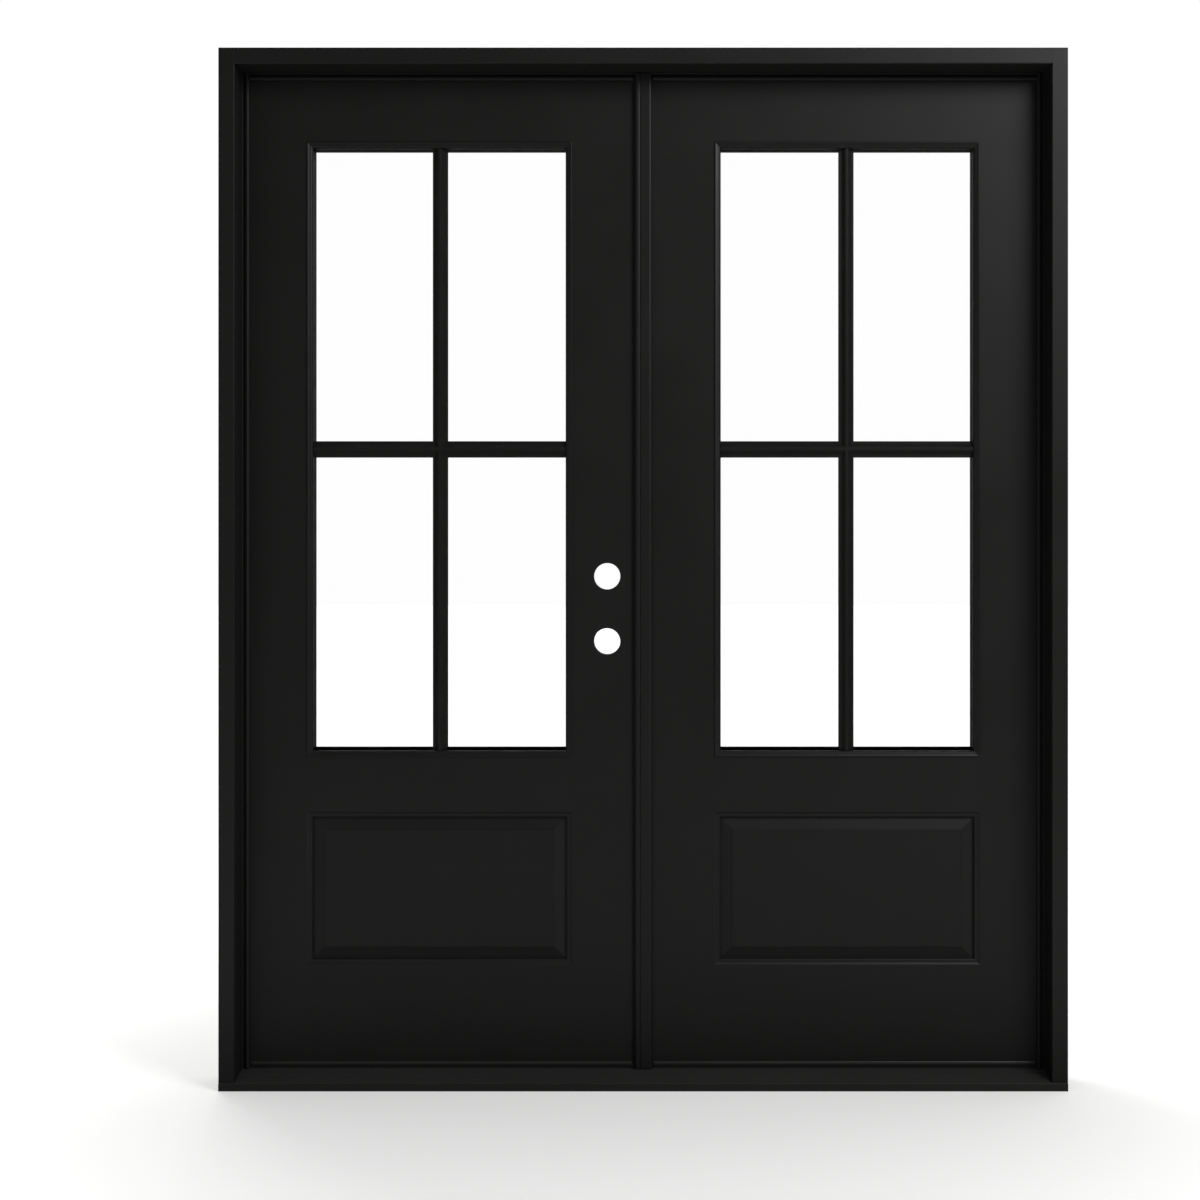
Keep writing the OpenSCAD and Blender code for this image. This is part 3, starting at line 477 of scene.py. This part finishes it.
def paint(piece: bpy.types.Object, finish: Surface) -> None:
    """Puts one finish on all of a piece.

    Args:
        piece: The object to paint.
        finish: The finish.
    """
    piece.data.materials.clear()
    piece.data.materials.append(finish.material())


@dataclass(frozen=True)
class CrossScrew:
    """Countersunk wood screw with a cross recess, its head at the origin and its point down.

    Attributes:
        head_r: Radius of the head, in millimetres like every size here.
        head_h: Height of the countersunk head.
        rim: Rounding of the head's edge.
        rim_steps: Faces across that rounding.
        shank_r: Radius of the shank.
        point: Length of the point.
        tip_r: Radius at the tip of the point.
        recess_half: Half the span of the cross recess.
        recess_depth: Depth of the recess.
        recess_taper: Size of the recess's floor against its mouth.
        recess_cells: Squares across the recess, of which the middle one makes its arms.
        segments: Sides of the head.
    """

    head_r: float = 4.2
    head_h: float = 2.3
    rim: float = 0.2
    rim_steps: int = 2
    shank_r: float = 2.2
    point: float = 4.0
    tip_r: float = 0.3
    recess_half: float = 2.5
    recess_depth: float = 1.6
    recess_taper: float = 0.5
    recess_cells: int = 3
    segments: int = 24

    def mesh(self, length: float) -> bpy.types.Mesh:
        """Models one screw.

        Args:
            length: Length over all, in millimetres.

        Returns:
            A mesh in millimetres.
        """
        bm = bmesh.new()
        bmesh.ops.create_circle(bm, cap_ends=False, radius=self.head_r, segments=self.segments)
        rim = list(bm.edges)
        cross = self._recess_mouth(bm)
        open_edges = [e for e in bm.edges if len(e.link_faces) < 2]
        bmesh.ops.triangle_fill(bm, use_beauty=True, edges=open_edges)
        self._sink(bm, cross)
        steps = (
            (-self.head_h, self.shank_r),
            (-length + self.point, self.shank_r),
            (-length, self.tip_r),
        )
        ring, radius, height = rim, self.head_r, 0.0
        for z, r in steps:
            ring = self._next_ring(bm, ring, r / radius, z - height)
            radius, height = r, z
        bmesh.ops.contextual_create(bm, geom=ring)
        bmesh.ops.bevel(
            bm,
            geom=rim,
            offset=self.rim,
            offset_type="OFFSET",
            segments=self.rim_steps,
            profile=0.5,
            affect="EDGES",
            material=-1,
        )
        bmesh.ops.recalc_face_normals(bm, faces=bm.faces)
        mesh = bpy.data.meshes.new("cross_screw")
        bm.to_mesh(mesh)
        bm.free()
        return mesh

    def _recess_mouth(self, bm: bmesh.types.BMesh) -> list[bmesh.types.BMFace]:
        """Lays the faces of the cross on the head, from a grid that loses its corners.

        Args:
            bm: The mesh in work.

        Returns:
            The faces of the cross.
        """
        before = set(bm.faces)
        cells = self.recess_cells
        bmesh.ops.create_grid(bm, x_segments=cells, y_segments=cells, size=self.recess_half)
        arm_half = self.recess_half / cells
        grid = [f for f in bm.faces if f not in before]
        corners = [f for f in grid if min(abs(c) for c in f.calc_center_median()[:2]) > arm_half]
        bmesh.ops.delete(bm, geom=corners, context="FACES")
        return [f for f in grid if f.is_valid]

    def _sink(self, bm: bmesh.types.BMesh, cross: list[bmesh.types.BMFace]) -> None:
        """Sinks the cross into the head, narrower at its floor.

        Args:
            bm: The mesh in work.
            cross: The faces of the cross.
        """
        grown = bmesh.ops.extrude_face_region(bm, geom=cross)["geom"]
        floor = [v for v in grown if isinstance(v, bmesh.types.BMVert)]
        bmesh.ops.scale(bm, vec=(self.recess_taper, self.recess_taper, 1.0), verts=floor)
        bmesh.ops.translate(bm, vec=(0.0, 0.0, -self.recess_depth), verts=floor)
        bmesh.ops.delete(bm, geom=[f for f in cross if f.is_valid], context="FACES")

    @staticmethod
    def _next_ring(
        bm: bmesh.types.BMesh, ring: list[bmesh.types.BMEdge], grow: float, drop: float
    ) -> list[bmesh.types.BMEdge]:
        """Extrudes a ring of edges to another radius and height.

        Args:
            bm: The mesh in work.
            ring: The edges to extrude.
            grow: New radius against the old one.
            drop: Change of height, negative downwards.

        Returns:
            The new ring's edges.
        """
        grown = bmesh.ops.extrude_edge_only(bm, edges=ring)["geom"]
        verts = [v for v in grown if isinstance(v, bmesh.types.BMVert)]
        bmesh.ops.scale(bm, vec=(grow, grow, 1.0), verts=verts)
        bmesh.ops.translate(bm, vec=(0.0, 0.0, drop), verts=verts)
        fresh = set(verts)
        edges = [e for e in grown if isinstance(e, bmesh.types.BMEdge)]
        return [e for e in edges if fresh.issuperset(e.verts)]


@dataclass
class ScrewSet:
    """All the screws of one node, each at its own turn, as a fitter leaves them.

    Attributes:
        node: The node that they stand for.
        body: The body that they ride on.
        slot: The record's material slot, which also gives their finish.
        length: Length of one screw, in millimetres.
        places: Middle of each head and the way its point looks, in millimetres.
        screw: The kind of screw.
        roll_deg: How far each screw is turned beyond the one before it.
    """

    node: str
    body: str
    slot: str
    length: float
    places: list[Place]
    screw: CrossScrew = field(default_factory=CrossScrew)
    roll_deg: float = 37.0

    def build(self) -> None:
        """Sets one screw at every place, joined into one piece that stands for the node."""
        one = self.screw.mesh(self.length)
        down = Vector((0.0, 0.0, -1.0))
        bm = bmesh.new()
        for count, (head, way) in enumerate(self.places):
            bm.from_mesh(one)
            bm.verts.ensure_lookup_table()
            fresh = bm.verts[len(bm.verts) - len(one.vertices) :]
            turn = down.rotation_difference(Vector(way)).to_matrix().to_4x4()
            roll = Matrix.Rotation(math.radians(self.roll_deg * count), 4, "Z")
            bmesh.ops.transform(bm, matrix=Matrix.Translation(head) @ turn @ roll, verts=fresh)
        bmesh.ops.scale(bm, vec=(MM, MM, MM), verts=bm.verts)
        mesh = bpy.data.meshes.new(f"{self.node}_driven")
        bm.to_mesh(mesh)
        bm.free()
        bpy.data.meshes.remove(one)
        piece = bpy.data.objects.new(f"{self.node}_driven", mesh)
        bpy.context.scene.collection.objects.link(piece)
        paint(piece, FINISH_OF_SLOT[self.slot])
        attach(piece, self.body)
        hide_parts(self.node)
        LOG.info("drove %d screws for %s", len(self.places), self.node)


@dataclass
class Fastenings:
    """Every screw of the unit, in millimetres.

    Attributes:
        rabbet_x: Face of the jamb's plates, out from the middle.
        leaf_edge_x: Hinge edge of a leaf, out from the middle.
        jamb_back_x: Back of a jamb, out from the middle.
        hinge_zs: Heights of the hinges.
        hinge_h: Height of one hinge.
        hinge_rows: Heights of a hinge's screws as shares of the hinge's own.
        hinge_ys: The two lines on which those screws alternate.
        leaf_mid_y: Middle of the leaves' thickness.
        bolt_x: Middle of the sliding bolts.
        strike_step: How far a strike's screws stand from the bolt.
        strike_zs: Faces of the foot's and the head's strikes.
        channel_x: Floor of the astragal's channel.
        astragal_z: Height of the astragal's lowest screw.
        astragal_pitch: Step from one of the astragal's screws to the next.
        astragal_count: Screws in the astragal.
        head_joints: Screws through a jamb into the head, as Y and Z.
        sill_joint_x: Screws from under the sill into a jamb, out from the middle.
        sill_joint_ys: The two lines of those screws.
        jamb_screw: Length of a hinge's screw in a jamb.
        leaf_screw: Length of a hinge's screw in a leaf.
        strike_screw: Length of a strike's screw.
        astragal_screw: Length of an astragal's screw.
        joint_screw: Length of a screw that joins the frame.
    """

    rabbet_x: float = 826.0
    leaf_edge_x: float = 823.0
    jamb_back_x: float = 845.0
    hinge_zs: tuple[float, ...] = (371.8, 1098.5, 1825.2)
    hinge_h: float = 101.6
    hinge_rows: tuple[float, ...] = (-0.37, -0.125, 0.125, 0.37)
    hinge_ys: tuple[float, float] = (47.95, 35.22)
    leaf_mid_y: float = 35.75
    bolt_x: float = -11.5
    strike_step: float = 12.24
    strike_zs: tuple[float, float] = (27.5, 2057.0)
    channel_x: float = -5.0
    astragal_z: float = 361.0
    astragal_pitch: float = 274.6
    astragal_count: int = 6
    head_joints: tuple[tuple[float, float], ...] = ((-29.0, 2060.125), (35.75, 2066.5))
    sill_joint_x: float = 835.5
    sill_joint_ys: tuple[float, float] = (-29.0, 35.75)
    jamb_screw: float = 17.0
    leaf_screw: float = 25.0
    strike_screw: float = 13.0
    astragal_screw: float = 52.0
    joint_screw: float = 62.0

    def hinge_places(self, x: float, way: float) -> list[Place]:
        """Lists one side's hinge screws.

        Args:
            x: Plane of the heads.
            way: Sign of the X towards which the points look.

        Returns:
            A head and a direction for each screw.
        """
        return [
            ((x, self.hinge_ys[row % 2], z + share * self.hinge_h), (way, 0.0, 0.0))
            for z in self.hinge_zs
            for row, share in enumerate(self.hinge_rows)
        ]

    def strike_places(self) -> list[Place]:
        """Lists the screws of the strikes in threshold and head.

        Returns:
            A head and a direction for each screw.
        """
        return [
            ((self.bolt_x, self.leaf_mid_y + step, z), (0.0, 0.0, way))
            for z, way in zip(self.strike_zs, (-1.0, 1.0))
            for step in (-self.strike_step, self.strike_step)
        ]

    def astragal_places(self) -> list[Place]:
        """Lists the screws that hold the astragal to the right leaf's edge.

        Returns:
            A head and a direction for each screw.
        """
        heights = [self.astragal_z + i * self.astragal_pitch for i in range(self.astragal_count)]
        return [((self.channel_x, self.leaf_mid_y, z), (1.0, 0.0, 0.0)) for z in heights]

    def joint_places(self) -> list[Place]:
        """Lists the screws that join the jambs to the head and to the sill.

        Returns:
            A head and a direction for each screw.
        """
        places = []
        for side in Side:
            out = float(side.value)
            back, sill = out * self.jamb_back_x, out * self.sill_joint_x
            places += [((back, y, z), (-out, 0.0, 0.0)) for y, z in self.head_joints]
            places += [((sill, y, 0.0), (0.0, 0.0, 1.0)) for y in self.sill_joint_ys]
        return places

    def sets(self) -> list[ScrewSet]:
        """Lists the unit's sets of screws.

        Returns:
            One set for each node of screws.
        """
        found = []
        black, zinc = "black_steel", "zinc_screws"
        for side in Side:
            out, word = float(side.value), side.word
            jamb = self.hinge_places(out * self.rabbet_x, out)
            leaf = self.hinge_places(out * self.leaf_edge_x, -out)
            found += [
                ScrewSet(f"{word}_jamb_screws", "frame", black, self.jamb_screw, jamb),
                ScrewSet(f"{word}_leaf_screws", f"{word}_leaf", black, self.leaf_screw, leaf),
            ]
        strike, astragal, joint = self.strike_places(), self.astragal_places(), self.joint_places()
        found += [
            ScrewSet("strike_screws", "frame", zinc, self.strike_screw, strike),
            ScrewSet("astragal_screws", "right_leaf", zinc, self.astragal_screw, astragal),
            ScrewSet("frame_screws", "frame", zinc, self.joint_screw, joint),
        ]
        return found

    def build(self) -> None:
        """Drives every screw."""
        for screws in self.sets():
            screws.build()


@dataclass
class Unit:
    """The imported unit: its nodes, and the finish that each of them takes.

    Attributes:
        jamb_nodes: The nodes in the jambs' enamel.
        trim_words: Words in the names of the nodes that are moulded trim.
        sweep_end: How the names of the sweeps end.
    """

    frame: dict
    jamb_nodes: tuple[str, ...] = ("left_jamb", "right_jamb", "head_jamb")
    trim_words: tuple[str, ...] = ("lite_frame", "bars")
    sweep_end: str = "_sweep"

    def finish_of(self, node: str, slot: str) -> Surface:
        """Chooses a node's finish.

        Args:
            node: The node's name.
            slot: The record's material slot of that node.

        Returns:
            The finish for it.
        """
        if node in self.jamb_nodes:
            return JAMB_ENAMEL
        if any(word in node for word in self.trim_words):
            return TRIM_POLYMER
        if node.endswith(self.sweep_end):
            return SWEEP_VINYL
        return FINISH_OF_SLOT[slot]

    def dress(self) -> None:
        """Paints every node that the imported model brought."""
        for row in self.frame["record"]["subparts"]:
            node = row["node"]
            paint(self.frame["nodes"][node], self.finish_of(node, row["material_slot"]))
            LOG.info("painted %s", node)


@dataclass(frozen=True)
class SoftLamp:
    """A square soft lamp.

    Attributes:
        name: What the lamp is called.
        place: Where it hangs.
        aim: The point that it looks at.
        size: Length of its side.
        watts: Its power.
    """

    name: str
    place: Point
    aim: Point
    size: float
    watts: float

    def build(self) -> None:
        """Hangs the lamp, which lights the doors but doesn't show through their glass."""
        data = bpy.data.lights.new(self.name, "AREA")
        data.shape = "SQUARE"
        data.size = self.size
        data.energy = self.watts
        lamp = bpy.data.objects.new(self.name, data)
        lamp.location = self.place
        sight = Vector(self.aim) - Vector(self.place)
        lamp.rotation_euler = sight.to_track_quat("-Z", "Y").to_euler()
        lamp.visible_transmission = False
        bpy.context.scene.collection.objects.link(lamp)


@dataclass
class Studio:
    """White floor and background, with painted shade on the floor near the doors, a large lamp at
    the upper right, a weak fill and a room lamp.

    Attributes:
        lens_mm: Focal length on a sensor of sensor_mm.
        sensor_mm: Width of the sensor.
        camera_at: Place of the camera.
        camera_tilt_deg: Turn of the camera about X, where zero looks straight down.
        shift_px: From the view's own axis to the picture's middle, in the photo's pixels.
        view_end: Distance at which the view ends.
        matt_light: Strength of the studio on matt surfaces, from in front and from behind.
        gloss_light: Strength that gloss sees: in front, behind, and behind from above.
        behind_y: Share of Y in a direction at which it looks in front, and at which behind.
        above_z: Share of Z in a direction at which it looks level, and at which above.
        floor_glow_painted_shade: Light that the floor shows beyond what falls on it, near the doors
            and far off; lower near the doors as painted shade.
        painted_shade_reach: Distances from the doors at which those two hold.
        floor_tones_painted_shade: The floor's colour to the eye, then those it throws from near and
            from far; the grey near one is painted shade before the doors.
        thrown_shade_reach: Places in front of the doors at which those last two hold.
        floor_half: Half the floor's width.
        floor_front: How far the floor runs in front of the doors, before the dark of the studio.
        floor_rough: Roughness of the floor.
        lamps: The soft lamps.
    """

    lens_mm: float = 54.3
    sensor_mm: float = 36.0
    camera_at: Point = (0.0, -3.658, 1.011)
    camera_tilt_deg: float = 90.0
    shift_px: tuple[float, float] = (-43.2, -17.0)
    view_end: float = 200.0
    matt_light: tuple[float, float] = (0.26, 0.8)
    gloss_light: tuple[float, float, float] = (0.11, 0.2, 0.75)
    behind_y: tuple[float, float] = (-0.4, 0.5)
    above_z: tuple[float, float] = (0.15, 0.6)
    floor_glow_painted_shade: tuple[float, float] = (0.32, 0.7)
    painted_shade_reach: tuple[float, float] = (0.7, 2.2)
    floor_tones_painted_shade: tuple[str, str, str] = ("#eaeae9", "#949493", "#ffffff")
    thrown_shade_reach: tuple[float, float] = (-0.15, -0.75)
    floor_half: float = 40.0
    floor_front: float = 2.6
    floor_rough: float = 0.9
    lamps: tuple[SoftLamp, ...] = (
        SoftLamp("key_lamp", (2.5, -2.8, 3.5), (0.35, 0.0, 1.2), 1.8, 90.0),
        SoftLamp("fill_lamp", (-3.2, -3.4, 1.6), (0.0, 0.0, 0.9), 2.0, 4.0),
        SoftLamp("room_lamp", (-1.7, 2.6, 3.5), (0.0, 0.0, 1.0), 2.0, 45.0),
    )

    def camera(self) -> None:
        """Sets up the camera where the photographer stood."""
        data = bpy.data.cameras.new("front_view")
        data.lens = self.lens_mm
        data.sensor_width = self.sensor_mm
        data.sensor_fit = "HORIZONTAL"
        data.shift_x = self.shift_px[0] / PHOTO_PX
        data.shift_y = self.shift_px[1] / PHOTO_PX
        data.clip_end = self.view_end
        eye = bpy.data.objects.new("front_view", data)
        eye.location = self.camera_at
        eye.rotation_euler = (math.radians(self.camera_tilt_deg), 0.0, 0.0)
        bpy.context.scene.collection.objects.link(eye)
        bpy.context.scene.camera = eye

    @staticmethod
    def direct_sight(tree: bpy.types.NodeTree) -> bpy.types.NodeSocket:
        """Tells whether the eye looks straight at a surface, or at it through clear glass alone.

        Args:
            tree: The node tree that asks.

        Returns:
            A socket that is one there, and zero in any reflection.
        """
        half_a_bounce = 0.5
        path = add_node(tree, "ShaderNodeLightPath")
        bounces = add_node(
            tree,
            "ShaderNodeMath",
            {0: path.outputs["Glossy Depth"], 1: path.outputs["Diffuse Depth"]},
            operation="ADD",
        )
        straight = add_node(
            tree,
            "ShaderNodeMath",
            {0: bounces.outputs[0], 1: half_a_bounce},
            operation="LESS_THAN",
        )
        return straight.outputs[0]

    def world(self) -> None:
        """Makes the surroundings: white to the eye and through glass, dimmer as light."""
        world = bpy.data.worlds.new("studio")
        bpy.context.scene.world = world
        world.use_nodes = True
        world.cycles.sampling_method = "NONE"
        tree = world.node_tree
        seen = self.direct_sight(tree)
        path = add_node(tree, "ShaderNodeLightPath")
        way = add_node(tree, "ShaderNodeTexCoord").outputs["Generated"]
        axes = add_node(tree, "ShaderNodeSeparateXYZ", {"Vector": way})
        gloss_front, gloss_behind, gloss_above = self.gloss_light
        gloss_back = add_node(
            tree,
            "ShaderNodeMapRange",
            {
                "Value": axes.outputs["Z"],
                FROM_MIN: self.above_z[0],
                FROM_MAX: self.above_z[1],
                TO_MIN: gloss_behind,
                TO_MAX: gloss_above,
            },
            interpolation_type="SMOOTHSTEP",
        ).outputs["Result"]
        on_matt, in_gloss = [
            add_node(
                tree,
                "ShaderNodeMapRange",
                {
                    "Value": axes.outputs["Y"],
                    FROM_MIN: self.behind_y[0],
                    FROM_MAX: self.behind_y[1],
                    TO_MIN: front,
                    TO_MAX: back,
                },
                interpolation_type="SMOOTHSTEP",
            ).outputs["Result"]
            for front, back in (self.matt_light, (gloss_front, gloss_back))
        ]
        gloss = add_node(
            tree,
            "ShaderNodeMath",
            {0: path.outputs["Glossy Depth"], 1: 1.0},
            operation="MINIMUM",
        )
        unseen = add_node(
            tree,
            "ShaderNodeMix",
            {FACTOR: gloss.outputs[0], NUMBER_A: on_matt, NUMBER_B: in_gloss},
        )
        level = add_node(
            tree,
            "ShaderNodeMix",
            {FACTOR: seen, NUMBER_A: unseen.outputs[0], NUMBER_B: 1.0},
        )
        background = tree.nodes["Background"]
        tree.links.new(level.outputs[0], background.inputs["Strength"])
        background.inputs["Color"].default_value = WHITE

    def floor(self) -> None:
        """Lays a white floor that keeps the doors' soft shadow."""
        bm = bmesh.new()
        bmesh.ops.create_grid(bm, x_segments=1, y_segments=1, size=self.floor_half)
        back = self.floor_half - self.floor_front
        bmesh.ops.translate(bm, verts=bm.verts, vec=(0.0, back, 0.0))
        mesh = bpy.data.meshes.new("studio_floor")
        bm.to_mesh(mesh)
        bm.free()
        slab = bpy.data.objects.new("studio_floor", mesh)
        bpy.context.scene.collection.objects.link(slab)
        mesh.materials.append(self.floor_material())

    def floor_material(self) -> bpy.types.Material:
        """Makes the floor's matt paper: pale to the eye, with a glow that is lower near the doors as
        painted shade, and greyer near the doors in what it throws, also as painted shade.

        Returns:
            The new material.
        """
        mat, shader, place = new_material("white_studio_floor")
        tree = mat.node_tree
        seen = self.direct_sight(tree)
        to_eye, thrown_painted_shade, thrown_far = [linear(tone) for tone in self.floor_tones_painted_shade]
        away = add_node(tree, "ShaderNodeVectorMath", {0: place}, operation="LENGTH")
        axes = add_node(tree, "ShaderNodeSeparateXYZ", {"Vector": place})
        lift_share, throw_share = [
            add_node(
                tree,
                "ShaderNodeMapRange",
                {"Value": value, FROM_MIN: near, FROM_MAX: far},
                interpolation_type="SMOOTHSTEP",
            ).outputs["Result"]
            for value, (near, far) in (
                (away.outputs["Value"], self.painted_shade_reach),
                (axes.outputs["Y"], self.thrown_shade_reach),
            )
        ]
        # Painted shade: what the floor throws back into reflections and bounce light is grey just
        # before the doors and white further out.
        thrown = add_node(
            tree,
            "ShaderNodeMix",
            {"Factor": throw_share, COLOUR_A: thrown_painted_shade, COLOUR_B: thrown_far},
            data_type="RGBA",
        )
        tone = add_node(
            tree,
            "ShaderNodeMix",
            {"Factor": seen, COLOUR_A: thrown.outputs[COLOUR_OUT], COLOUR_B: to_eye},
            data_type="RGBA",
        )
        # Painted shade: the glow that the eye sees on the floor is lower near the doors and rises to
        # its far level with distance.
        lift = add_node(
            tree,
            "ShaderNodeMix",
            {FACTOR: lift_share, NUMBER_A: self.floor_glow_painted_shade[0], NUMBER_B: self.floor_glow_painted_shade[1]},
        )
        seen_lift = add_node(
            tree, "ShaderNodeMath", {0: seen, 1: lift.outputs[0]}, operation="MULTIPLY"
        )
        tree.links.new(tone.outputs[COLOUR_OUT], shader.inputs["Base Color"])
        tree.links.new(seen_lift.outputs[0], shader.inputs["Emission Strength"])
        shader.inputs["Roughness"].default_value = self.floor_rough
        shader.inputs["Specular IOR Level"].default_value = 0.0
        shader.inputs["Emission Color"].default_value = WHITE
        return mat

    def build(self) -> None:
        """Sets up camera, surroundings, floor and lamps."""
        bpy.context.scene.view_settings.view_transform = "Standard"
        self.camera()
        self.world()
        self.floor()
        for lamp in self.lamps:
            lamp.build()


def main() -> None:
    """Loads the unit, dresses it and sets up the studio."""
    logging.basicConfig(level=logging.INFO, format="%(name)s: %(message)s")
    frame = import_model()
    Studio().build()
    Unit(frame).dress()
    Fastenings().build()


if __name__ == "__main__":
    main()
